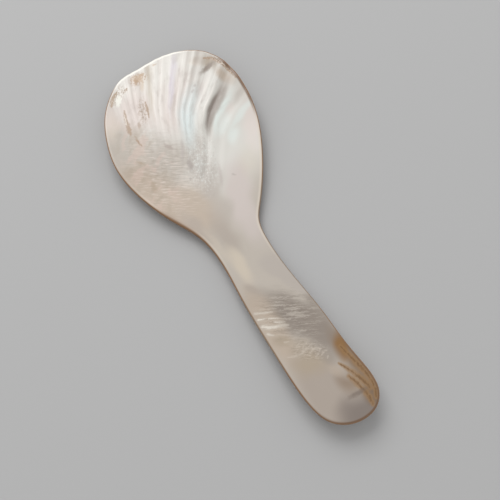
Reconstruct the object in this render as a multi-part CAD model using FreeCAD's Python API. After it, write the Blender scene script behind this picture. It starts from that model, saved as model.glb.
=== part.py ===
import FreeCAD, Part
import math
import os

# A rice paddle cut and ground from one valve of a pearl shell. The hollow inner side
# of the valve faces up, +Y runs from the handle to the head, and +Z is up.
doc = FreeCAD.newDocument("rice_paddle")

# Driving dimensions, in millimetres and degrees. The throat is the narrow place
# between the head and the handle.
SIZES = [
    ("head_length", 104.7),      # throat to the crown of the head
    ("head_width", 76.2),       # across the head at its widest
    ("handle_length", 97),      # throat to the handle's end
    ("neck_width", 25.2),       # across the throat
    ("grip_width", 31),         # across the handle near its end
    ("neck_shift", 5.4),        # the neck's middle lies this far left of the head's
    ("grip_shift", 2.8),        # the same for the handle's end
    ("lip_wall", 1.9),          # wall at the crown, the valve's thin growing edge
    ("head_wall", 2.9),         # wall in the middle of the head
    ("neck_wall", 4.2),         # wall at the throat
    ("grip_wall", 3.7),         # wall at the handle's end
    ("head_dish_radius", 135),  # hollow across the head
    ("grip_dish_radius", 90),   # hollow across the handle
    ("rocker_radius", 880),     # hollow along the paddle, which lifts both its ends
    ("belly_reach", 13.7),      # throat to the lowest place, towards the crown
    ("belly_shift", 2.0),       # the lowest place lies this far left of the head's middle
    ("fold_height", 0.2),       # trough to ridge of the small folds
    ("fold_spread", 3.5),       # degrees from one small fold to the next
    ("fold_count", 12),         # small folds, from the deep fold round to the left
    ("fold_curl", 16),          # degrees by which the folds turn before they fade out
    ("side_fold_height", 0.3),  # trough to ridge of the broad folds right of the deep one
    ("side_fold_spread", 8.8),  # degrees from one broad fold to the next
    ("side_fold_count", 2),     # broad folds
    ("fold_inner_radius", 22),  # where the folds begin, from the centre of their fan
    ("fold_outer_radius", 62),  # where they have their full height
    ("fan_shift", 33),          # the fan's centre lies this far left of the head's middle
    ("fan_reach", 30),          # throat to the fan's centre, towards the crown
    ("main_fold_step", 1.1),    # height of the one deep fold
    ("main_fold_turn", 36.8),   # direction of the deep fold, from +X
    ("main_fold_spread", 2.2),  # half its breadth, in degrees of the fan
    ("rim_round", 0.8),         # rounding of the ground rim, above and below
]

# Outline of the head: share of the half width to the right of its middle, and share
# of the way from the throat to the crown. The points go round to the left.
HEAD_FORM = [
    (0.357, 0.108),
    (0.772, 0.342),
    (0.93, 0.482),
    (1.0, 0.656),
    (0.953, 0.795),
    (0.761, 0.916),
    (0.493, 0.977),
    (0.218, 1.0),
    (-0.1, 0.997),
    (-0.352, 0.986),
    (-0.53, 0.947),
    (-0.777, 0.846),
    (-0.929, 0.717),
    (-0.995, 0.581),
    (-0.934, 0.427),
    (-0.696, 0.219),
    (-0.546, 0.117),
]

# Outline of the handle: share of its half width to the right of its middle, and share
# of the way from the throat to its end.
HANDLE_FORM = [
    (-1.0, 0.0),
    (-1.04, 0.25),
    (-1.055, 0.5),
    (-1.03, 0.7),
    (-0.93, 0.85),
    (-0.785, 0.915),
    (-0.53, 0.962),
    (0.2, 1.0),
    (0.63, 0.983),
    (0.93, 0.933),
    (1.04, 0.86),
    (1.03, 0.78),
    (1.0, 0.68),
    (1.035, 0.5),
    (0.985, 0.25),
    (0.995, 0.05),
    (1.13, -0.045),
]

# Places on the shell are sampled this far apart, close over the folds and wide where
# it is smooth, and the sampled sheet stands out past the outline by the margin.
FOLD_STEP = 1.3
WIDE_STEP = 12.0
RIM_STEP = 2.0
MARGIN = 6.0

# The rim's section is measured in half walls up and down from the wall's middle. It
# goes past both faces, so that it cuts them.
RIM_LEVELS = (-1.2, -0.9, -0.6, 0, 0.6, 0.9, 1.2)
BLOCK_HALF_HEIGHT = 60.0

# The small folds lie unevenly: their places sway by this share of a fold. The broad
# folds begin this share of a fold away from the deep one.
FOLD_SWAY = 0.15
FOLD_SWAY_RATE = 1.9
SIDE_FOLD_START = 0.32

sheet = doc.addObject("Spreadsheet::Sheet", "sizes")
for row, (name, value) in enumerate(SIZES, start=1):
    sheet.set("A%d" % row, name)
    sheet.set("B%d" % row, str(value))
    sheet.setAlias("B%d" % row, name)
doc.recompute()


def size(name):
    return float(sheet.get(name))


def blend(share):
    """Smooth step from 0 to 1."""
    share = min(max(share, 0.0), 1.0)
    return share * share * (3 - 2 * share)


def mix(first, second, share):
    return first + (second - first) * blend(share)


def outline_points():
    points = []
    for across, along in HEAD_FORM:
        points.append(FreeCAD.Vector(across * size("head_width") / 2, along * size("head_length"), 0))
    for across, along in HANDLE_FORM:
        half_width = mix(size("neck_width"), size("grip_width"), along) / 2
        middle = -mix(size("neck_shift"), size("grip_shift"), along)
        points.append(FreeCAD.Vector(middle + across * half_width, -along * size("handle_length"), 0))
    return points


def wall_at(y):
    """Upright wall: grip, neck, middle of the head, lip."""
    half_head = size("head_length") / 2
    if y < 0:
        return mix(size("neck_wall"), size("grip_wall"), -y / size("handle_length"))
    if y < half_head:
        return mix(size("neck_wall"), size("head_wall"), y / half_head)
    return mix(size("head_wall"), size("lip_wall"), y / half_head - 1)


def underside_at(x, y):
    """The valve's outer face, ground smooth: a dish that is tighter at the handle."""
    bend = mix(1 / size("grip_dish_radius"), 1 / size("head_dish_radius"), 2 * y / size("head_length"))
    across = x + size("belly_shift")
    along = y - size("belly_reach")
    return across ** 2 * bend / 2 + along ** 2 / (2 * size("rocker_radius"))


def folds_at(x, y):
    """Folds of the inner face, as a fan that fades out towards its centre. Small uneven
    folds lie left of the deep one and broad ones right of it, and those nearer to it
    curl more."""
    dx = x + size("fan_shift")
    dy = y - size("fan_reach")
    radius = math.hypot(dx, dy)
    reach = size("fold_outer_radius") - size("fold_inner_radius")
    height = blend((radius - size("fold_inner_radius")) / reach)
    turn = math.degrees(math.atan2(dy, dx)) - size("main_fold_turn")
    straight = turn / (size("fold_spread") * size("fold_count"))
    turn += size("fold_curl") * (1 - height) * max(0.0, 1 - straight)
    fold = turn / size("fold_spread")
    swayed = fold + FOLD_SWAY * math.sin(FOLD_SWAY_RATE * fold)
    small = size("fold_height") / 2 * math.sin(2 * math.pi * swayed)
    small *= blend(fold) * blend(size("fold_count") - fold)
    side = -turn / size("side_fold_spread")
    broad = size("side_fold_height") / 2 * math.sin(2 * math.pi * (side - SIDE_FOLD_START))
    broad *= blend(2 * side) * blend(size("side_fold_count") - side)
    place = turn / size("main_fold_spread")
    main = size("main_fold_step") * place * math.exp(-place ** 2)
    return height * (small + main + broad)


def wall_with_folds(x, y):
    return wall_at(y) + folds_at(x, y)


def inner_face_at(x, y):
    return underside_at(x, y) + wall_with_folds(x, y)


def stations(start, end, step):
    count = max(2, round((end - start) / step))
    return [start + (end - start) * i / count for i in range(count + 1)]


def closed_solid(faces):
    shell = Part.Shell(faces)
    shell.sewShape()
    return Part.Solid(shell)


def face_through(height_at, step):
    """A face over the whole outline and a margin round it. It is sampled at this step on
    the head, and at the wide step along the smooth handle."""
    outline = outline_points()
    left = min(point.x for point in outline) - MARGIN
    right = max(point.x for point in outline) + MARGIN
    columns = stations(left, right, step)
    rows = stations(-size("handle_length") - MARGIN, size("fan_reach"), WIDE_STEP)[:-1]
    rows += stations(size("fan_reach"), size("head_length") + MARGIN, step)
    surface = Part.BSplineSurface()
    surface.interpolate([[FreeCAD.Vector(x, y, height_at(x, y)) for y in rows] for x in columns])
    return surface.toShape()


def ring_through(points):
    curve = Part.BSplineCurve()
    curve.interpolate(Points=points, PeriodicFlag=True)
    return curve


def valve_wall():
    """A solid piece of the shell's wall, larger all round than the paddle."""
    inner = face_through(inner_face_at, FOLD_STEP)
    outer = face_through(underside_at, WIDE_STEP)
    sides = [Part.makeRuledSurface(upper, lower) for upper, lower in zip(inner.Edges, outer.Edges)]
    return closed_solid([inner, outer] + sides)


def rim_ring(outline, level):
    """The paddle's outline at one level of the wall. The rim is ground round, so it
    draws in towards both faces."""
    inset = size("rim_round") * level ** 4
    points = []
    for point in outline.discretize(Number=round(outline.length() / RIM_STEP))[:-1]:
        along = outline.tangent(outline.parameter(point))[0]
        point = point - FreeCAD.Vector(along.y, -along.x, 0) * inset
        half_wall = wall_with_folds(point.x, point.y) / 2
        point.z = underside_at(point.x, point.y) + half_wall * (1 + level)
        points.append(point)
    return ring_through(points)


def flat_ring(ring, height):
    flat = ring.copy()
    for number, pole in enumerate(ring.getPoles(), start=1):
        flat.setPole(number, FreeCAD.Vector(pole.x, pole.y, height))
    return flat


def ground_block():
    """A tall block of the paddle's outline, with the rounded rim half way up."""
    outline = ring_through(outline_points())
    rings = [rim_ring(outline, level) for level in RIM_LEVELS]
    rings.insert(0, flat_ring(rings[0], -BLOCK_HALF_HEIGHT))
    rings.append(flat_ring(rings[-1], BLOCK_HALF_HEIGHT))
    edges = [ring.toShape() for ring in rings]
    bands = [Part.makeRuledSurface(lower, upper) for lower, upper in zip(edges, edges[1:])]
    ends = [Part.Face(Part.Wire([edge])) for edge in (edges[0], edges[-1])]
    return closed_solid(bands + ends)


wall = doc.addObject("Part::Feature", "valve_wall")
wall.Shape = valve_wall()

block = doc.addObject("Part::Feature", "ground_block")
block.Shape = ground_block()

paddle = doc.addObject("Part::MultiCommon", "paddle")
paddle.Label = "paddle"
paddle.Shapes = [wall, block]
doc.recompute()

# The origin is the middle of the footprint, on the surface that the paddle rests on.
box = paddle.Shape.optimalBoundingBox(False, False)
paddle.Placement.Base = FreeCAD.Vector(-box.Center.x, -box.Center.y, -box.ZMin)
doc.recompute()

for item in doc.Objects:
    if "Invalid" in item.State or "Error" in item.State:
        raise RuntimeError("%s failed: %s" % (item.Name, item.State))
if paddle.Shape.isNull() or not paddle.Shape.isValid():
    raise RuntimeError("the paddle's shape isn't sound")

os.makedirs("parts", exist_ok=True)
paddle.Shape.exportStep("parts/paddle.step")
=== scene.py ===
import bmesh
import bpy
import math
import numpy as np
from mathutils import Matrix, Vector, noise
from mathutils.kdtree import KDTree


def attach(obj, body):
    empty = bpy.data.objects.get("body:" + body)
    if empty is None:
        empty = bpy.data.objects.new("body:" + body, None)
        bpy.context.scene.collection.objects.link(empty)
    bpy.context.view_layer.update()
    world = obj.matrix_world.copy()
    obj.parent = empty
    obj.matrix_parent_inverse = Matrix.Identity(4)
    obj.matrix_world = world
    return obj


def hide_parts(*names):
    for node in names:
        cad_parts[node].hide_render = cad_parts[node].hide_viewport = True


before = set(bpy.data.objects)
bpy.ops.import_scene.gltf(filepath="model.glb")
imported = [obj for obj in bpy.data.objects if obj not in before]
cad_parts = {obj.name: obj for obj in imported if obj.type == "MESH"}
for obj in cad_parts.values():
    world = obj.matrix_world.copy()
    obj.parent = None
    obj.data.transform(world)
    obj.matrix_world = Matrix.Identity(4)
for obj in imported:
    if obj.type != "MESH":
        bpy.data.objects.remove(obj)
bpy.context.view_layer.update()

# The paddle
#
# It is one piece, sawn from a single valve of a pearl oyster, so it keeps the valve's
# own dish and the fan of growth folds on the hollow inner side. The outline and the rim
# were ground on a wheel, and the faces were buffed until they shone.

# The solid's own sizes, in millimetres. MM turns the finished mesh to metres.
MM = 0.001
HEAD_LENGTH = 104.7
HEAD_WIDTH = 76.2
HANDLE_LENGTH = 97.0
NECK_WIDTH = 25.2
GRIP_WIDTH = 31.0
NECK_SHIFT = 5.4
GRIP_SHIFT = 2.8
LIP_WALL = 1.9
HEAD_WALL = 2.9
NECK_WALL = 4.2
GRIP_WALL = 3.7
HEAD_DISH_RADIUS = 135.0
GRIP_DISH_RADIUS = 90.0
ROCKER_RADIUS = 880.0
BELLY_REACH = 13.7
BELLY_SHIFT = 2.0
FOLD_HEIGHT = 0.2
FOLD_SPREAD = 3.5
FOLD_COUNT = 12
FOLD_CURL = 16.0
SIDE_FOLD_HEIGHT = 0.3
SIDE_FOLD_SPREAD = 8.8
SIDE_FOLD_COUNT = 2
FOLD_INNER_RADIUS = 22.0
FOLD_OUTER_RADIUS = 62.0
FAN_SHIFT = 33.0
FAN_REACH = 30.0
MAIN_FOLD_STEP = 1.1
MAIN_FOLD_TURN = 36.8
MAIN_FOLD_SPREAD = 2.2
FOLD_SWAY = 0.15
FOLD_SWAY_RATE = 1.9
SIDE_FOLD_START = 0.32
RIM_ROUND = 0.8

# The skin lies this far inside the solid, so that it stays within its box.
SHAVE = 0.05

# Growth ripples across the handle, which sway along their length, and fade out towards the
# end of their reach and towards the rim.
RIPPLE_HEIGHT = 0.05
RIPPLE_SPACING = 1.9
RIPPLE_SLANT = math.radians(-27)
RIPPLES_MIDDLE = (-8.0, -40.0)
RIPPLES_REACH = (15.0, 16.0)
RIPPLES_FADE = 1.3
RIPPLE_SWAY = 0.35
RIPPLE_SWAY_LENGTH = 3.1
RIPPLE_TREMBLE = 0.2
RIPPLE_TREMBLE_LENGTH = 1.3
RIPPLE_RIM_GAP = 1.0
RIPPLE_RIM_FADE = 3.0

# Outline points: share of the half width to the right, and share of the way from the
# throat to the crown or to the handle's end.
HEAD_FORM = [
    (0.357, 0.108), (0.772, 0.342), (0.93, 0.482), (1.0, 0.656), (0.953, 0.795),
    (0.761, 0.916), (0.493, 0.977), (0.218, 1.0), (-0.1, 0.997), (-0.352, 0.986),
    (-0.53, 0.947), (-0.777, 0.846), (-0.929, 0.717), (-0.995, 0.581), (-0.934, 0.427),
    (-0.696, 0.219), (-0.546, 0.117),
]
HANDLE_FORM = [
    (-1.0, 0.0), (-1.04, 0.25), (-1.055, 0.5), (-1.03, 0.7), (-0.93, 0.85),
    (-0.785, 0.915), (-0.53, 0.962), (0.2, 1.0), (0.63, 0.983), (0.93, 0.933),
    (1.04, 0.86), (1.03, 0.78), (1.0, 0.68), (1.035, 0.5), (0.985, 0.25), (0.995, 0.05),
    (1.13, -0.045),
]


def blend(share):
    """A share of the way, eased at both ends."""
    share = min(max(share, 0.0), 1.0)
    return share * share * (3 - 2 * share)


def mix(first, second, share):
    return first + (second - first) * blend(share)


def outline_points():
    points = [(across * HEAD_WIDTH / 2, along * HEAD_LENGTH)
              for across, along in HEAD_FORM]
    for across, along in HANDLE_FORM:
        half_width = mix(NECK_WIDTH, GRIP_WIDTH, along) / 2
        middle = -mix(NECK_SHIFT, GRIP_SHIFT, along)
        points.append((middle + across * half_width, -along * HANDLE_LENGTH))
    return np.array(points)


def closed_curve(points, step):
    """A smooth closed curve through the points: cubic spans whose bend runs on."""
    count = len(points)
    following = np.roll(points, -1, axis=0)
    spans = np.linalg.norm(following - points, axis=1)
    slopes = (following - points) / spans[:, None]
    before = np.roll(spans, 1)
    rows = np.zeros((count, count))
    for here in range(count):
        rows[here, here - 1] = before[here]
        rows[here, here] = 2 * (before[here] + spans[here])
        rows[here, (here + 1) % count] = spans[here]
    bends = np.linalg.solve(rows, 6 * (slopes - np.roll(slopes, 1, axis=0)))

    curve = []
    for here in range(count):
        span = spans[here]
        bend, next_bend = bends[here], bends[(here + 1) % count]
        for way in np.arange(0, span, step):
            slope = slopes[here] - span * (2 * bend + next_bend) / 6
            curve.append(points[here] + way * slope + way ** 2 * bend / 2
                         + way ** 3 * (next_bend - bend) / (6 * span))
    return np.array(curve)


def wall_at(y):
    """How thick the wall is: most at the throat, least at the crown."""
    half_head = HEAD_LENGTH / 2
    if y < 0:
        return mix(NECK_WALL, GRIP_WALL, -y / HANDLE_LENGTH)
    if y < half_head:
        return mix(NECK_WALL, HEAD_WALL, y / half_head)
    return mix(HEAD_WALL, LIP_WALL, y / half_head - 1)


def underside_at(x, y):
    """Height of the dished underside over its lowest place."""
    bend = mix(1 / GRIP_DISH_RADIUS, 1 / HEAD_DISH_RADIUS, 2 * y / HEAD_LENGTH)
    return (x + BELLY_SHIFT) ** 2 * bend / 2 + (y - BELLY_REACH) ** 2 / (2 * ROCKER_RADIUS)


def fan_at(x, y):
    """Degrees round the fan from the deep fold, distance from its centre, and how far the
    folds have grown there."""
    dx = x + FAN_SHIFT
    dy = y - FAN_REACH
    radius = math.hypot(dx, dy)
    height = blend((radius - FOLD_INNER_RADIUS) / (FOLD_OUTER_RADIUS - FOLD_INNER_RADIUS))
    turn = math.degrees(math.atan2(dy, dx)) - MAIN_FOLD_TURN
    turn += FOLD_CURL * (1 - height) * max(0.0, 1 - turn / (FOLD_SPREAD * FOLD_COUNT))
    return turn, radius, height


def folds_at(x, y):
    """Height of the fan's folds: small ones to the left of the deep fold, the deep fold
    itself, and broad ones to its right."""
    turn, _, height = fan_at(x, y)
    fold = turn / FOLD_SPREAD
    swayed = fold + FOLD_SWAY * math.sin(FOLD_SWAY_RATE * fold)
    small = FOLD_HEIGHT / 2 * math.sin(2 * math.pi * swayed)
    small *= blend(fold) * blend(FOLD_COUNT - fold)
    side = -turn / SIDE_FOLD_SPREAD
    broad = SIDE_FOLD_HEIGHT / 2 * math.sin(2 * math.pi * (side - SIDE_FOLD_START))
    broad *= blend(2 * side) * blend(SIDE_FOLD_COUNT - side)
    from_fold = turn / MAIN_FOLD_SPREAD
    deep = MAIN_FOLD_STEP * from_fold * math.exp(-from_fold ** 2)
    return height * (small + deep + broad)


def ripples_at(x, y):
    """Height of the ripples that the buffing left across the handle."""
    dx = x - RIPPLES_MIDDLE[0]
    dy = y - RIPPLES_MIDDLE[1]
    along = dx * math.cos(RIPPLE_SLANT) + dy * math.sin(RIPPLE_SLANT)
    across = dy * math.cos(RIPPLE_SLANT) - dx * math.sin(RIPPLE_SLANT)
    wave = across / RIPPLE_SPACING + RIPPLE_SWAY * math.sin(along / RIPPLE_SWAY_LENGTH)
    wave += RIPPLE_TREMBLE * math.sin(along / RIPPLE_TREMBLE_LENGTH + across)
    reached = math.hypot(along / RIPPLES_REACH[0], across / RIPPLES_REACH[1])
    fade = blend(RIPPLES_FADE * (1 - reached))
    return RIPPLE_HEIGHT / 2 * math.sin(2 * math.pi * wave) * fade


# The mesh starts as a flat slab one unit each way, whose grid is laid over the outline:
# rows run across, between the two flanks, and bow towards the crown and the handle's end.
# The rim bulges in strips, and more fullness leaves more of it upright.
ACROSS = 100
ALONG = 400
RIM_STRIPS = 10
RIM_FULLNESS = 4
OUTLINE_STEP = 0.1
MIDDLE_X = -2.0
CROWN_ROW = 95.5
END_ROW = -91.5
EDGE_OVERLAP = 2.0
BOW_REACH = 45.0

outline = closed_curve(outline_points(), OUTLINE_STEP)
along_rim = np.roll(outline, -1, axis=0) - np.roll(outline, 1, axis=0)
along_rim /= np.linalg.norm(along_rim, axis=1)[:, None]
outward = np.column_stack([along_rim[:, 1], -along_rim[:, 0]])
inset = outline - outward * (RIM_ROUND + SHAVE)


def edge_along(axis, part):
    """A part of the inset outline in order along an axis: its places on that axis, and on
    the other one."""
    chosen = inset[part]
    chosen = chosen[np.argsort(chosen[:, axis])]
    return chosen[:, axis], chosen[:, 1 - axis]


flank = (inset[:, 1] > END_ROW - EDGE_OVERLAP) & (inset[:, 1] < CROWN_ROW + EDGE_OVERLAP)
left_edge = edge_along(1, flank & (inset[:, 0] < MIDDLE_X))
right_edge = edge_along(1, flank & (inset[:, 0] > MIDDLE_X))
crown_edge = edge_along(0, inset[:, 1] > CROWN_ROW - EDGE_OVERLAP)
end_edge = edge_along(0, inset[:, 1] < END_ROW + EDGE_OVERLAP)
left_top = np.interp(CROWN_ROW, *left_edge)
right_top = np.interp(CROWN_ROW, *right_edge)
left_end = np.interp(END_ROW, *left_edge)
right_end = np.interp(END_ROW, *right_edge)


def on_face(u, v):
    """Where a place on the slab comes to lie within the outline."""
    row = END_ROW + (CROWN_ROW - END_ROW) * v
    left = np.interp(row, *left_edge)
    right = np.interp(row, *right_edge)
    crown_pull = max(0.0, 1 - (CROWN_ROW - row) / BOW_REACH) ** 2
    end_pull = max(0.0, 1 - (row - END_ROW) / BOW_REACH) ** 2
    crown = np.interp(left_top + (right_top - left_top) * u, *crown_edge)
    end = np.interp(left_end + (right_end - left_end) * u, *end_edge)
    y = row + crown_pull * (crown - CROWN_ROW) + end_pull * (end - END_ROW)
    return left + (right - left) * u, y


bm = bmesh.new()
bmesh.ops.create_grid(bm, x_segments=ACROSS, y_segments=ALONG, size=0.5)
bmesh.ops.translate(bm, verts=bm.verts, vec=(0.5, 0.5, 0))
raised = bmesh.ops.extrude_face_region(bm, geom=bm.faces[:])
top = [item for item in raised["geom"] if isinstance(item, bmesh.types.BMVert)]
bmesh.ops.translate(bm, verts=top, vec=(0, 0, 1))
bmesh.ops.recalc_face_normals(bm, faces=bm.faces[:])
upright = [edge for edge in bm.edges
           if abs(edge.verts[0].co.z - edge.verts[1].co.z) > 0.5]
bmesh.ops.subdivide_edges(bm, edges=upright, cuts=RIM_STRIPS - 1, use_grid_fill=True)

rim_tree = KDTree(len(outline))
for number, point in enumerate(outline):
    rim_tree.insert((*point, 0), number)
rim_tree.balance()

# The mesh keeps what the pearl's pattern follows: level in the wall, from -1 on the
# underside to 1 on the inner face, distance from the rim, and place in the fan.
level_layer = bm.verts.layers.float.new("level")
rim_layer = bm.verts.layers.float.new("from_rim")
turn_layer = bm.verts.layers.float.new("fan_turn")
radius_layer = bm.verts.layers.float.new("fan_radius")
edge_step = 0.5 / max(ACROSS, ALONG)
for vert in bm.verts:
    u, v, share = vert.co
    x, y = on_face(u, v)
    level = math.sin((share - 0.5) * math.pi)
    on_rim = min(u, v, 1 - u, 1 - v) < edge_step
    if on_rim:
        near = np.argmin(((inset - (x, y)) ** 2).sum(axis=1))
        x, y = inset[near] + outward[near] * RIM_ROUND * (1 - level ** RIM_FULLNESS)
    wall = wall_at(y) + folds_at(x, y) - SHAVE
    from_rim = 0 if on_rim else rim_tree.find((x, y, 0))[2]
    z = underside_at(x, y) + SHAVE / 2 + wall / 2 * (1 + level)
    if share > 0.5:
        z += ripples_at(x, y) * blend((from_rim - RIPPLE_RIM_GAP) / RIPPLE_RIM_FADE)
    vert.co = (x, y, z)
    vert[level_layer] = level
    vert[rim_layer] = from_rim
    vert[turn_layer], vert[radius_layer], _ = fan_at(x, y)

shift_x = -(outline[:, 0].min() + outline[:, 0].max()) / 2
shift_y = -(outline[:, 1].min() + outline[:, 1].max()) / 2
bmesh.ops.translate(bm, verts=bm.verts, vec=(shift_x, shift_y, 0))
bmesh.ops.scale(bm, verts=bm.verts, vec=(MM, MM, MM))
for face in bm.faces:
    face.smooth = True
mesh = bpy.data.meshes.new("pearl_paddle")
bm.to_mesh(mesh)
bm.free()
paddle = bpy.data.objects.new("pearl_paddle", mesh)
bpy.context.collection.objects.link(paddle)
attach(paddle, "root")
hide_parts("paddle")

# Places in the pearl's pattern are millimetres from the start of the head, which is this
# far from the throat.
HEAD_START = 3.05
pattern_shift = Vector((shift_x, shift_y + HEAD_START, 0))

# Lines that the layers leave where they are ground through: golden veins at the handle's
# end, bright ripples and curls on its middle, and brown streaks at the head's edge. Each
# is the points of one line, with half its breadth there.
VEINS = (
    ((3.3, -74.6, 0.3), (4.9, -77.7, 0.5), (6.6, -81.7, 0.7), (8.0, -86.1, 0.9),
     (8.9, -90.0, 0.7)),
    ((3.9, -81.4, 0.5), (5.1, -85.0, 0.8), (6.1, -89.9, 0.7), (6.5, -93.6, 0.8),
     (5.9, -96.6, 0.5)),
    ((8.0, -68.7, 0.5), (8.8, -72.9, 0.6), (10.1, -78.8, 0.8), (10.9, -82.9, 0.7),
     (11.1, -88.0, 0.6), (10.3, -92.3, 0.6), (8.8, -94.9, 0.5)),
)
GLEAMS = (
    ((-16.8, -36.6, 0.5), (-14.0, -37.8, 0.4), (-9.5, -39.8, 0.2)),
    ((-17.0, -39.8, 0.5), (-13.5, -41.2, 0.2)),
    ((-12.8, -41.6, 0.3), (-8.6, -43.8, 0.2)),
    ((-17.0, -43.6, 0.8), (-14.5, -45.3, 0.8), (-12.0, -46.3, 0.6), (-9.5, -47.2, 0.6),
     (-6.4, -48.6, 0.3)),
    ((-11.4, -44.2, 0.2), (-9.0, -45.6, 0.4), (-7.0, -46.6, 0.2)),
    ((-16.8, -47.6, 0.6), (-14.6, -49.5, 0.3)),
    ((-4.0, -41.2, 0.2), (-1.0, -43.0, 0.4), (2.0, -44.6, 0.2)),
    ((-4.4, -44.0, 0.2), (-1.0, -46.0, 0.4), (2.4, -47.7, 0.2)),
    ((-2.0, -47.5, 0.2), (0.0, -48.4, 0.3), (2.0, -49.3, 0.2)),
)
CURLS = (
    ((-12.2, -54.6, 0.5), (-10.6, -55.1, 0.4)),
    ((-8.7, -58.7, 0.3), (-6.9, -58.2, 0.3)),
    ((-6.7, -60.9, 0.2), (-5.6, -60.2, 0.3)),
    ((-14.5, -60.8, 0.3), (-12.0, -62.0, 0.5), (-8.4, -62.7, 0.3), (-6.6, -62.0, 0.5),
     (-5.0, -61.9, 0.5), (-3.8, -62.5, 0.2)),
    ((-5.0, -64.5, 0.2), (-3.4, -63.6, 0.4), (-1.6, -63.8, 0.4), (0.2, -64.8, 0.2)),
    ((-1.3, -65.9, 0.2), (-0.4, -65.3, 0.4), (0.8, -65.1, 0.2)),
    ((-3.8, -67.1, 0.3), (-1.8, -66.4, 0.4)),
    ((-1.4, -67.9, 0.2), (-0.3, -67.2, 0.4), (1.2, -66.8, 0.4), (2.3, -67.4, 0.2)),
    ((0.2, -70.3, 0.2), (0.8, -69.7, 0.4), (1.3, -69.2, 0.2)),
)
STREAKS = (
    ((-24.2, 88.6, 0.4), (-22.6, 91.0, 0.8), (-20.6, 93.2, 0.7), (-18.2, 94.8, 0.4)),
    ((-15.4, 93.0, 0.3), (-13.8, 93.8, 0.6), (-12.6, 94.4, 0.2)),
    ((-19.6, 84.4, 0.3), (-20.9, 80.6, 0.5), (-21.9, 76.9, 0.9), (-22.6, 73.6, 1.1),
     (-23.3, 70.4, 0.4)),
    ((-21.6, 69.6, 0.2), (-21.8, 66.2, 0.6), (-21.2, 62.8, 0.2)),
    ((33.0, 83.5, 0.7), (34.6, 79.9, 0.9), (35.6, 75.9, 0.8), (36.3, 69.8, 0.4)),
    ((28.0, 88.2, 0.3), (31.4, 85.8, 0.6), (32.8, 83.9, 0.7)),
    ((-8.4, 83.5, 0.3), (-9.4, 79.5, 0.6), (-10.8, 75.0, 0.3)),
)


def from_lines(places, lines):
    """Each place's distance from the nearest of the lines, in half breadths."""
    nearest = np.full(len(places), np.inf)
    for line in lines:
        for start, end in zip(np.array(line), np.array(line[1:])):
            way = (end - start)[:2]
            share = np.clip((places - start[:2]) @ way / (way @ way), 0, 1)
            away = np.linalg.norm(places - start[:2] - share[:, None] * way, axis=1)
            nearest = np.minimum(nearest, away / (start[2] + (end[2] - start[2]) * share))
    return nearest


pattern_places = np.array([vert.co[:2] for vert in mesh.vertices]) / MM
pattern_places -= np.array(pattern_shift[:2])
for name, lines in (("from_vein", VEINS), ("from_gleam", GLEAMS), ("from_curl", CURLS),
                    ("from_streak", STREAKS)):
    distances = from_lines(pattern_places, lines)
    mesh.attributes.new(name, "FLOAT", "POINT").data.foreach_set("value", distances)

# The tones of the pearl, from the milky crown to the stained handle.
BODY = "#B7AEA3"
MILK = "#EBE7E0"
GREEN_WHITE = "#DCE3DE"
PALE = "#D3D0C9"
PINK_WHITE = "#DBCFC8"
LILAC = "#DAD3DD"
PEACH = "#E2D2C1"
SILVER = "#C2C3BE"
BLUE_WHITE = "#D3DDDC"
PINK_GREY = "#C6BBB5"
CREAM = "#C7BBAA"
STONE = "#B2A9A0"
SAND = "#B6A695"
TAN = "#A89986"
ASH = "#A69A8F"
SHADE = "#8C8177"
DEEP_SHADE = "#7E736B"
BROWN = "#856F59"
DARK_BROWN = "#705840"
GOLD = "#86602F"

# The broad zones over the body, laid on in turn. Each is a place, its two reaches, its
# turn in degrees, its tone, the share of the reach where it is full, and how much shows.
HEAD_ZONES = (
    (2, 64, 44, 52, 0, PALE, 0.6, 1.0), (20, 46, 20, 30, 0, PALE, 0.3, 1.0),
    (-27, 40, 17, 42, 14, SAND, 0.3, 1.0), (-31, 68, 14, 20, -20, BODY, 0.3, 1.0),
    (-28, 84, 8, 9, -30, PINK_GREY, 0.3, 0.9), (-14, 50, 15, 19, 12, BODY, 0.3, 0.9),
    (-13, 22, 14, 20, 0, SAND, 0.3, 0.9), (-11, 92.5, 6.5, 6, 0, PEACH, 0.2, 0.6),
    (24.5, 89, 6, 4, -30, PEACH, 0.2, 0.6), (-29, 80, 6, 13, -28, PEACH, 0.2, 0.35),
    (-17, 82, 9, 18, -15, PINK_WHITE, 0.3, 0.9), (1, 80, 21, 26, -20, PINK_WHITE, 0.4, 0.9),
    (2, 96, 31, 13, 0, MILK, 0.4, 0.9), (-1, 46, 8, 20, -22, STONE, 0.3, 0.55),
    (-1.5, 39, 4, 9, -16, SILVER, 0.2, 0.7), (-4, 25, 7, 8, 0, STONE, 0.2, 0.8),
    (8, 19, 9, 24, -26, PINK_GREY, 0.3, 0.95), (20, 30, 9, 12, -30, CREAM, 0.2, 0.4),
    (20, 45, 7.5, 5, 40, GREEN_WHITE, 0.2, 0.7), (31, 46, 5.5, 20, -26, PINK_WHITE, 0.3, 0.7),
    (25, 57.5, 6, 3.4, 30, PINK_WHITE, 0.2, 0.5), (19, 53, 9, 4.5, 32, GREEN_WHITE, 0.2, 0.6),
    (32.0, 74.5, 4.6, 8, 10, SAND, 0.3, 0.85), (18, 74.5, 8, 4.5, 38, PINK_GREY, 0.2, 0.6),
    (27, 88, 8, 4, -38, BODY, 0.3, 0.9), (28.8, 84.6, 6.5, 4.2, -40, TAN, 0.3, 0.9),
    (0, 33, 10, 14, -22, STONE, 0.2, 0.65), (-21, 65, 7, 11, -8, SAND, 0.2, 0.45),
    (15, 77, 6, 4, 35, SILVER, 0.2, 0.7),
)
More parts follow.
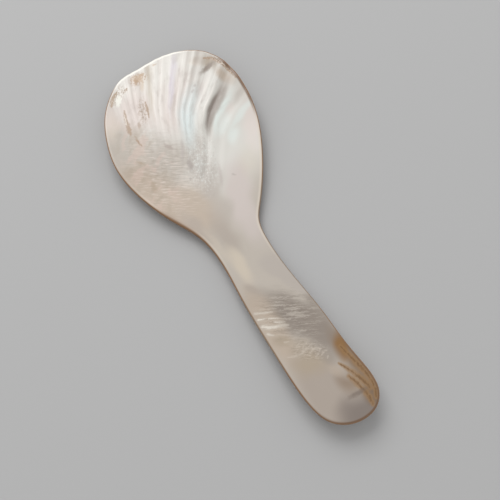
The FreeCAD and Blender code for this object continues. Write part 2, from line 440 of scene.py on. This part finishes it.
HANDLE_ZONES = (
    (-9, 4, 7, 18, 0, ASH, 0.2, 0.7), (-4, 15, 8, 10, 0, STONE, 0.2, 0.6),
    (-18.5, 12, 5, 18, 14, ASH, 0.2, 0.6), (9.5, -46, 4, 14, 8, SHADE, 0.3, 0.6),
    # The cream strips down the left of the neck, at (-15.5, 0) and (-11, -14), are painted
    # highlight where the raised edge catches the light.
    (5, 3, 8, 18, -10, PINK_GREY, 0.2, 0.8), (-15.5, 0, 2.6, 15, 4, CREAM, 0.2, 0.4),
    (-11.0, -14, 5, 16, 5, CREAM, 0.2, 0.9), (-2, -47, 30, 13, -54, SHADE, 0.3, 1.0),
    (9, -30, 21, 8.5, -57, STONE, 0.65, 1.0), (-14, -47, 9.5, 32, 3, SAND, 0.3, 0.9),
    (-12, -27, 6.0, 3.4, -50, ASH, 0.2, 0.6), (5, -59, 9, 16, 6, SHADE, 0.3, 0.9),
    (-12.5, -53.5, 7, 3.2, -20, TAN, 0.2, 0.8), (-7, -82, 17, 28, 4, ASH, 0.4, 1.0),
    (-8, -68, 12, 9, -10, TAN, 0.2, 0.9), (1.8, -83.5, 6, 10, 20, BROWN, 0, 0.7),
    (10.5, -81, 7.2, 27, 5, BROWN, 0.35, 1.0), (0, -98, 18, 13, 0, DEEP_SHADE, 0.2, 1.0),
    (8, -94, 6, 8, 20, DARK_BROWN, 0.3, 0.8), (0.5, -76, 6, 3.5, -45, SAND, 0.2, 0.5),
    (8, -68.5, 3.8, 9.5, -25, GOLD, 0.25, 0.95), (1.5, -69, 7, 6, -40, SHADE, 0.2, 0.5),
    (-8, -59.5, 8, 4.5, -20, TAN, 0.2, 0.55),
)

# Bands of the fan, in the same way, but placed by the distance from its centre and by
# degrees from the deep fold. The last three are painted light on that fold: painted shade
# in the trough, darker painted shade in its deepest part, and a painted highlight on the
# ridge beside it.
FAN_BANDS = (
    (66, 33, 22, 4.0, 0, PINK_WHITE, 0.2, 0.5), (71, 27.2, 24, 2.4, 0, CREAM, 0.2, 0.8),
    (68, 23.6, 32, 4.2, 0, MILK, 0.2, 0.65), (72, 19.9, 26, 1.0, 0, PALE, 0.2, 0.5),
    (72, 18.0, 24, 1.8, 0, LILAC, 0.2, 0.75), (66, 16.2, 24, 1.0, 0, PINK_GREY, 0.2, 0.5),
    (72, 14.5, 26, 1.4, 0, MILK, 0.2, 0.6), (58, 12.6, 22, 1.0, 0, PINK_GREY, 0.2, 0.5),
    (55, 9.6, 22, 7.0, 0, BLUE_WHITE, 0.2, 0.9), (79, 8.2, 9, 3.0, 0, PALE, 0.2, 0.6),
    (72, 4.5, 17, 1.0, 0, MILK, 0.2, 0.75), (63, -5.8, 17, 2.8, 0, GREEN_WHITE, 0.2, 0.9),
    (76, -9.8, 10, 2.4, 0, STONE, 0.2, 0.55), (67, -14.4, 16, 2.2, 0, GREEN_WHITE, 0.2, 0.7),
    # Painted shade in the deep fold's trough and its deepest part, then a painted highlight on
    # its ridge.
    (64, -2.5, 19, 3.0, 0, SHADE, 0.45, 0.85), (62, -1.5, 16, 1.5, 0, DEEP_SHADE, 0.3, 0.9),
    (66, 1.1, 17, 0.8, 0, MILK, 0.3, 0.9),
)

# Noise pushes the edges of the zones and bands about: how broad its waves are and how far
# it pushes. Without a seed it would differ in each run.
ZONE_WAVES, ZONE_PUSH = 8, 2
BAND_WAVES, BAND_PUSH = 6, 0.8
NOISE_SEED = 7


def linear(code):
    """An sRGB hex colour as linear red, green, blue and alpha."""
    shares = [int(code[i:i + 2], 16) / 255 for i in (1, 3, 5)]
    return [share / 12.92 if share <= 0.04045 else ((share + 0.055) / 1.055) ** 2.4
            for share in shares] + [1]


def pushed_about(places, waves, push):
    pushes = [noise.noise_vector((x / waves, y / waves, 0))[:2] for x, y in places]
    return places + push * np.array(pushes)


def lay_zones(colours, places, zones):
    """Lay the zones over the colours, each full in its core and gone at its reach."""
    for x, y, long, short, turn, code, core, most in zones:
        dx, dy = (places - (x, y)).T
        angle = math.radians(turn)
        along = dx * math.cos(angle) + dy * math.sin(angle)
        across = dy * math.cos(angle) - dx * math.sin(angle)
        share = (1 - np.hypot(along / long, across / short)) / (1 - core)
        share = np.clip(share, 0, 1)
        share = most * share * share * (3 - 2 * share)
        colours += (np.array(linear(code)[:3]) - colours) * share[:, None]


def values_of(attribute):
    values = np.zeros(len(mesh.vertices))
    mesh.attributes[attribute].data.foreach_get("value", values)
    return values


noise.seed_set(NOISE_SEED)
zone_places = pushed_about(pattern_places, ZONE_WAVES, ZONE_PUSH)
fan_places = np.column_stack([values_of("fan_radius"), values_of("fan_turn")])
fan_places = pushed_about(fan_places, BAND_WAVES, BAND_PUSH)
tones = np.tile(linear(BODY)[:3], (len(pattern_places), 1))
lay_zones(tones, zone_places, HEAD_ZONES)
lay_zones(tones, fan_places, FAN_BANDS)
lay_zones(tones, zone_places, HANDLE_ZONES)
body_colour = mesh.attributes.new("body_colour", "FLOAT_VECTOR", "POINT")
body_colour.data.foreach_set("vector", tones.ravel())


def add(tree, kind, links, **settings):
    """Add a node with its settings, and its inputs as values or links."""
    made = tree.nodes.new(kind)
    for name, value in settings.items():
        setattr(made, name, value)
    for socket, source in links.items():
        if isinstance(source, bpy.types.NodeSocket):
            tree.links.new(source, made.inputs[socket])
        else:
            made.inputs[socket].default_value = source
    return made


# Mother-of-pearl, ground through its layers and buffed: a satin gloss over a cream body,
# with bands of white, pink, green and lilac where the layers run out at the surface.
nacre = bpy.data.materials.new("buffed mother-of-pearl")
nacre.use_nodes = True
tree = nacre.node_tree
shader = tree.nodes["Principled BSDF"]


def weight(on, x, y, long, short, turn=0, core=0.3, most=1.0):
    """How much of a soft ellipse lies at each place: the most inside its core, none
    outside its reach."""
    local = add(tree, "ShaderNodeMapping",
                {"Vector": on, "Location": (x, y, 0), "Rotation": (0, 0, math.radians(turn)),
                 "Scale": (long, short, 1)}, vector_type="TEXTURE").outputs[0]
    away = add(tree, "ShaderNodeVectorMath", {0: local}, operation="LENGTH").outputs["Value"]
    return add(tree, "ShaderNodeMapRange",
               {"Value": away, "From Min": 1, "From Max": core, "To Max": most},
               interpolation_type="SMOOTHSTEP").outputs["Result"]


def lay(under, code, value, start, end, most=1.0, within=1.0):
    """Lay a colour on where a value goes from start to end: most of it at the end, and
    only as far as the weight within lets it."""
    gone = add(tree, "ShaderNodeMapRange",
               {"Value": value, "From Min": start, "From Max": end, "To Max": most},
               interpolation_type="SMOOTHSTEP").outputs["Result"]
    share = add(tree, "ShaderNodeMath", {0: gone, 1: within}, operation="MULTIPLY").outputs[0]
    return add(tree, "ShaderNodeMix", {0: share, 6: under, 7: linear(code)},
               data_type="RGBA").outputs[2]


def patch(under, code, on, x, y, long, short, turn, core, most):
    """Lay a colour on in a soft ellipse."""
    share = weight(on, x, y, long, short, turn, core, most)
    return add(tree, "ShaderNodeMix", {0: share, 6: under, 7: linear(code)},
               data_type="RGBA").outputs[2]


def grain(on, length, width, turn=0, detail=3.0, roughness=0.6):
    """Uneven streaks of this length and width in the place's own units, along turn."""
    local = add(tree, "ShaderNodeMapping",
                {"Vector": on, "Rotation": (0, 0, math.radians(turn)),
                 "Scale": (length, width, 1)}, vector_type="TEXTURE").outputs[0]
    return add(tree, "ShaderNodeTexNoise",
               {"Vector": local, "Scale": 1, "Detail": detail, "Roughness": roughness},
               noise_dimensions="2D").outputs["Fac"]


# Object coordinates turned to the pattern's millimetres, and the same places pushed about
# by up to half of RAGGED, so that small edges lie unevenly.
RAGGED = 1.3
RAGGED_WAVES = 1.5
coords = add(tree, "ShaderNodeTexCoord", {})
place = add(tree, "ShaderNodeVectorMath",
            {0: coords.outputs["Object"], 1: (1 / MM, 1 / MM, 0), 2: -pattern_shift},
            operation="MULTIPLY_ADD").outputs[0]
swirl = add(tree, "ShaderNodeTexNoise",
            {"Vector": place, "Scale": 1 / RAGGED_WAVES, "Detail": 2.0},
            noise_dimensions="2D").outputs["Color"]
nudge = add(tree, "ShaderNodeVectorMath", {0: swirl, 1: (0.5, 0.5, 0.5)},
            operation="SUBTRACT").outputs[0]
ragged = add(tree, "ShaderNodeVectorMath", {0: nudge, 1: (RAGGED, RAGGED, 0), 2: place},
             operation="MULTIPLY_ADD").outputs[0]

# What the mesh keeps, by name.
kept = {name: add(tree, "ShaderNodeAttribute", {}, attribute_name=name).outputs["Fac"]
        for name in ("level", "from_rim", "fan_turn", "fan_radius", "from_vein",
                     "from_gleam", "from_curl", "from_streak")}
fan = add(tree, "ShaderNodeCombineXYZ", {0: kept["fan_radius"], 1: kept["fan_turn"]}).outputs[0]
colour = add(tree, "ShaderNodeAttribute", {}, attribute_name="body_colour").outputs["Vector"]

# Fine rays run out from the fan's centre over the bands, and faint clouds lie over the
# crown. At its right, painted shade darkens a hollow.
rays = grain(fan, 45, 1.6)
over_fan = weight(fan, 78, 22, 44, 32, core=0.4)
colour = lay(colour, "#ECE8E1", rays, 0.5, 0.68, 0.4, over_fan)
colour = lay(colour, "#BFB3AB", rays, 0.48, 0.34, 0.3, over_fan)
clouds = grain(fan, 9, 3.0)
over_head = weight(place, 6, 78, 36, 40, core=0.4)
colour = lay(colour, "#E4DDD6", clouds, 0.5, 0.7, 0.2, over_head)
colour = lay(colour, "#9A8D83", clouds, 0.5, 0.3, 0.2, over_head)
# Painted shade in the hollow at the crown's right.
colour = patch(colour, "#8A7D72", ragged, 27.6, 82.8, 7.2, 2.1, 10, core=0.2, most=0.95)

# Fine growth lines cross the left of the head, with pinker and browner blotches, and
# specks lie over its middle.
growth = grain(place, 5.0, 0.7, -28, detail=2.0)
in_growth = weight(place, -18, 46, 23, 34, core=0.2)
colour = lay(colour, "#DACEC5", growth, 0.52, 0.68, 0.5, in_growth)
colour = lay(colour, "#9C8D82", growth, 0.47, 0.33, 0.36, in_growth)
blotches = grain(ragged, 9, 5, 40, detail=2.0, roughness=0.5)
left_side = weight(place, -25, 50, 16, 40, -8, core=0.4)
colour = lay(colour, "#CDB6AA", blotches, 0.5, 0.66, 0.45, left_side)
colour = lay(colour, "#A59684", blotches, 0.48, 0.34, 0.4, left_side)
specks = grain(ragged, 1.7, 0.9, 65, detail=2.0)
in_specks = weight(place, 0, 42, 11, 22, -20)
colour = lay(colour, "#DDE1DC", specks, 0.53, 0.7, 0.5, in_specks)
colour = lay(colour, "#A29B95", specks, 0.44, 0.3, 0.4, in_specks)

# Bright ripples over the handle's dark zone, strongest at the left, and short curled ones
# below, each with a shaded side. Grain frays the lines, by this many half breadths.
GLEAM_FRAY = -3.0
CURL_FRAY = -2.4
ripples = grain(ragged, 9, 0.7, -28)
in_ripples = weight(place, -4, -45, 20, 17, -45, core=0.35)
colour = lay(colour, "#BDB4A8", ripples, 0.5, 0.66, 0.55, in_ripples)
colour = lay(colour, "#7F756A", ripples, 0.48, 0.34, 0.4, in_ripples)
shine = grain(place, 4.0, 0.45, -27, roughness=0.7)
gleam = add(tree, "ShaderNodeMath", {0: shine, 1: GLEAM_FRAY, 2: kept["from_gleam"]},
            operation="MULTIPLY_ADD").outputs[0]
near_gleams = weight(place, -13, -43, 20, 11, -24)
colour = lay(colour, "#C4BBAF", gleam, 0.9, -1.4, 0.75, near_gleams)
brightest = weight(place, -17.0, -43.0, 11.5, 8.5, -26)
colour = lay(colour, "#E4DDD1", gleam, -0.1, -1.8, 0.9, brightest)
curling = grain(ragged, 2.2, 0.55, -24, detail=2.0)
in_curls = weight(place, -4.5, -63, 11, 6.5, -38)
colour = lay(colour, "#8B7F72", curling, 0.5, 0.34, 0.55, in_curls)
colour = lay(colour, "#C6BBAD", curling, 0.52, 0.68, 0.5, in_curls)
curl = add(tree, "ShaderNodeMath", {0: shine, 1: CURL_FRAY, 2: kept["from_curl"]},
           operation="MULTIPLY_ADD").outputs[0]
colour = lay(colour, "#CBC0B2", curl, 0.5, -1.4, 0.5)

# Golden-brown veins that meet near the handle's end, each dark in its middle and in a
# paler stain, and brown streaks at the left of the head and down its right rim, where the
# surface is chipped dark and white.
VEIN_FRAY = -2.4
CHIP_FRAY = 6.0
fray = grain(place, 1.8, 1.2, 60)
vein = add(tree, "ShaderNodeMath", {0: fray, 1: VEIN_FRAY, 2: kept["from_vein"]},
           operation="MULTIPLY_ADD").outputs[0]
colour = lay(colour, "#8A6B49", kept["from_vein"], 3.4, 0.5, 0.35)
colour = lay(colour, "#957040", vein, 1.4, -0.6, 0.55)
colour = lay(colour, "#6B4A22", vein, -0.1, -1.3, 0.75)
streak = add(tree, "ShaderNodeMath", {0: fray, 1: VEIN_FRAY, 2: kept["from_streak"]},
             operation="MULTIPLY_ADD").outputs[0]
colour = lay(colour, "#A68C74", streak, 0.5, -0.6, 0.85)
by_right_rim = weight(place, 46, 76, 22, 26, core=0.5)
chips = grain(place, 1.3, 0.6, -72, roughness=0.7)
dark_chip = add(tree, "ShaderNodeMath", {0: chips, 1: CHIP_FRAY, 2: kept["from_streak"]},
                operation="MULTIPLY_ADD").outputs[0]
colour = lay(colour, "#6F5B48", dark_chip, 3.4, 2.4, 0.75, by_right_rim)
white_chip = add(tree, "ShaderNodeMath", {0: chips, 1: -CHIP_FRAY, 2: kept["from_streak"]},
                 operation="MULTIPLY_ADD").outputs[0]
colour = lay(colour, "#F1EBE1", white_chip, -2.6, -3.4, 0.8, by_right_rim)

# Mottled stains at the crown and on the left of the head.
mottle = grain(place, 1.6, 0.8, 66, detail=2.0, roughness=0.7)
left_stain = weight(place, -11.8, 79.5, 10, 3.6, 66)
colour = lay(colour, "#A8937E", mottle, 0.48, 0.6, 0.8, left_stain)
crown_stain = weight(place, -5.4, 96.2, 6.5, 4.2, core=0.4)
colour = lay(colour, "#B08F6C", mottle, 0.44, 0.58, 0.8, crown_stain)
shoulder_stain = weight(place, -19.5, 92.6, 9.0, 3.4, 36)
colour = lay(colour, "#AC9880", mottle, 0.47, 0.6, 0.75, shoulder_stain)
shoulder_white = weight(place, -18.0, 92.2, 8.5, 3.6, 36)
colour = lay(colour, "#F4F0E8", mottle, 0.5, 0.38, 0.7, shoulder_white)

# Single spots, in rows like the zones': stains at the crown, shaded marks over the head, a
# dark crease near the handle's end, and white chips.
SPOTS = (
    (-5.6, 96.4, 4.6, 3.2, -8, "#C6AC90", 0.2, 0.75),
    (-7.2, 95.4, 2.6, 1.4, 60, "#AC8966", 0.2, 0.6),
    (-3.0, 97.4, 2.0, 1.2, 0, "#B89877", 0.2, 0.7),
    (-5.4, 92.0, 4.6, 1.5, 62, "#CCB9A2", 0.2, 0.6),
    (5.5, 99.0, 2.0, 0.8, 0, "#C3A88C", 0.2, 0.6),
    (-17.0, 73.6, 2.8, 1.2, 60, "#B39E8B", 0.2, 0.65),
    (-10.0, 56.5, 3.8, 1.5, -58, "#A3948C", 0.2, 0.6),
    (-5.6, 43.0, 5.5, 2.0, 76, "#9F958F", 0.2, 0.7),
    (14.7, 76.3, 1.9, 1.2, 40, "#A39A96", 0.2, 0.6),
    (17.2, 78.4, 1.6, 1.0, 40, "#A8A09A", 0.2, 0.6),
    (16.0, 69.0, 1.9, 1.0, 40, "#A69E98", 0.2, 0.5),
    (-26, 55, 3.5, 1.2, -50, "#A9957F", 0.2, 0.5), (-26.5, 41, 6, 2.0, 80, "#A5927D", 0.2, 0.6),
    (4.5, 31, 9, 1.3, 68, "#B3A8A2", 0.2, 0.5), (-5.5, 51, 9, 1.4, 62, "#B3AAA5", 0.2, 0.5),
    (18, 70.5, 5, 1.4, 36, "#C2B9B3", 0.2, 0.5), (10, 27.5, 1.6, 0.8, -40, "#A39A93", 0.2, 0.5),
    (-9, 36.5, 1.2, 0.8, 40, "#A0958F", 0.2, 0.5),
    (3.0, -89.4, 6.8, 1.7, -3, "#6A5B50", 0.2, 0.6),
    (-19.6, 90.0, 4.6, 1.7, 54, "#EEECE2", 0.4, 0.9),
    (-21.6, 79, 5.0, 0.6, 74, "#F0E9DF", 0.3, 0.6),
    (34.0, 84.2, 1.8, 0.6, -52, "#F0ECE2", 0.3, 0.8),
    (35.8, 79.2, 1.8, 0.5, -72, "#EDE6DB", 0.3, 0.7),
)
for x, y, long, short, turn, code, core, most in SPOTS:
    colour = patch(colour, code, ragged, x, y, long, short, turn, core, most)

# The ground rim shows the shell's layers: a paler cream along the edge of the inner face,
# which is partly painted highlight on the rounded edge, then orange-brown and dark brown
# down the wall, the dark brown at its foot partly painted contact shadow. At the crown the
# edge is a white painted highlight.
around_head = weight(place, 2, 36, 44, 62, core=0.6)
# A paler layer along the edge of the inner face, partly a painted highlight on the rounded
# edge.
colour = lay(colour, "#D9CDBD", kept["from_rim"], 2.2, 0.9, 0.6, around_head)
handle_end = weight(place, 2, -90, 20, 32, core=0.6)
colour = lay(colour, "#6E5034", kept["from_rim"], 1.7, 0.3, 0.8, handle_end)
head_right = weight(place, 46, 70, 18, 34, core=0.6)
colour = lay(colour, "#765C47", kept["from_rim"], 2.2, 0.9, 0.95, head_right)
throat_left = weight(place, -31, 12, 13, 26, 20, core=0.5)
colour = lay(colour, "#7A5638", kept["from_rim"], 2.6, 0.6, 0.9, throat_left)
colour = lay(colour, "#8E6844", kept["level"], 0.99, 0.8)
handle_right = weight(place, 20, -22, 18, 44, core=0.6)
colour = lay(colour, "#978C7D", kept["level"], 0.99, 0.8, 0.85, handle_right)
handle_left = weight(place, -32, -46, 19, 40, core=0.6)
colour = lay(colour, "#93816C", kept["level"], 0.99, 0.8, 0.9, handle_left)
# Dark brown at the foot of the wall: partly the shell's dark outer layer, partly painted
# contact shadow.
colour = lay(colour, "#5F4330", kept["level"], -0.1, -0.8)
# A painted highlight along the crown's rounded edge, where the light from beyond the crown
# falls on it.
crown_highlight_reach = weight(place, 1, 104, 30, 14, core=0.6)
colour = lay(colour, "#F3F0E7", kept["from_rim"], 1.6, 0.8, 0.9, crown_highlight_reach)
colour = lay(colour, "#BCA48A", kept["level"], -0.9, -1.0)

# Buffing leaves the pearl smooth, but the fan's rays stay a little rough and raised.
roughness = add(tree, "ShaderNodeMapRange",
                {"Value": rays, "To Min": 0.3, "To Max": 0.42}).outputs[0]
relief = add(tree, "ShaderNodeBump",
             {"Height": rays, "Strength": 0.1, "Distance": 0.2 * MM}).outputs[0]
tree.links.new(colour, shader.inputs["Base Color"])
tree.links.new(roughness, shader.inputs["Roughness"])
tree.links.new(relief, shader.inputs["Normal"])
shader.inputs["IOR"].default_value = 1.53
shader.inputs["Coat Weight"].default_value = 0.15
shader.inputs["Coat Roughness"].default_value = 0.12
mesh.materials.append(nacre)

# The floor
#
# A wide sheet of pale matt paper that the paddle lies on. It isn't part of the object.
bm = bmesh.new()
bmesh.ops.create_grid(bm, x_segments=1, y_segments=1, size=1.5)
floor_mesh = bpy.data.meshes.new("floor")
bm.to_mesh(floor_mesh)
bm.free()
floor = bpy.data.objects.new("floor", floor_mesh)
bpy.context.collection.objects.link(floor)
paper = bpy.data.materials.new("pale paper")
paper.use_nodes = True
paper_shader = paper.node_tree.nodes["Principled BSDF"]
paper_shader.inputs["Base Color"].default_value = linear("#B3B3B3")
paper_shader.inputs["Roughness"].default_value = 0.9
floor_mesh.materials.append(paper)

# Light and camera
#
# The camera looks steeply down from the handle's side, with the paddle leaning left in the
# frame. A large softbox beyond the crown lights the pearl, and an even white room fills
# the shadow. LOOK_AT is in millimetres from the throat, and the lamp's place is in metres
# from there: across the frame, up the frame, and above the floor.
LEAN = math.radians(31)
ELEVATION = math.radians(74)
DISTANCE = 297 * MM
LOOK_AT = (-2.3, -5.15)
LAMP_RIGHT = -0.5
LAMP_UP = 1.08
LAMP_HEIGHT = 1.19

frame_up = Vector((math.sin(LEAN), math.cos(LEAN), 0))
frame_right = Vector((math.cos(LEAN), -math.sin(LEAN), 0))
target = Vector((LOOK_AT[0] + shift_x, LOOK_AT[1] + shift_y, 0)) * MM
eye = target - frame_up * DISTANCE * math.cos(ELEVATION)
eye += Vector((0, 0, DISTANCE * math.sin(ELEVATION)))
camera_data = bpy.data.cameras.new("camera")
camera_data.lens = 45
camera_data.sensor_width = 36
camera_data.clip_start = 0.01
camera = bpy.data.objects.new("camera", camera_data)
camera.location = eye
camera.rotation_euler = (target - eye).to_track_quat("-Z", "Y").to_euler()
bpy.context.collection.objects.link(camera)
scene = bpy.context.scene
scene.camera = camera
scene.view_settings.view_transform = "Standard"

world = bpy.data.worlds.new("room light")
world.use_nodes = True
room = world.node_tree.nodes["Background"]
room.inputs["Color"].default_value = linear("#FFFFFF")
room.inputs["Strength"].default_value = 0.64
scene.world = world

lamp_data = bpy.data.lights.new("softbox", "AREA")
lamp_data.shape = "RECTANGLE"
lamp_data.size = 1.26
lamp_data.size_y = 0.98
lamp_data.energy = 16.7
lamp = bpy.data.objects.new("softbox", lamp_data)
lamp.location = target + frame_right * LAMP_RIGHT + frame_up * LAMP_UP
lamp.location += Vector((0, 0, LAMP_HEIGHT))
lamp.rotation_euler = (target - lamp.location).to_track_quat("-Z", "Y").to_euler()
bpy.context.collection.objects.link(lamp)
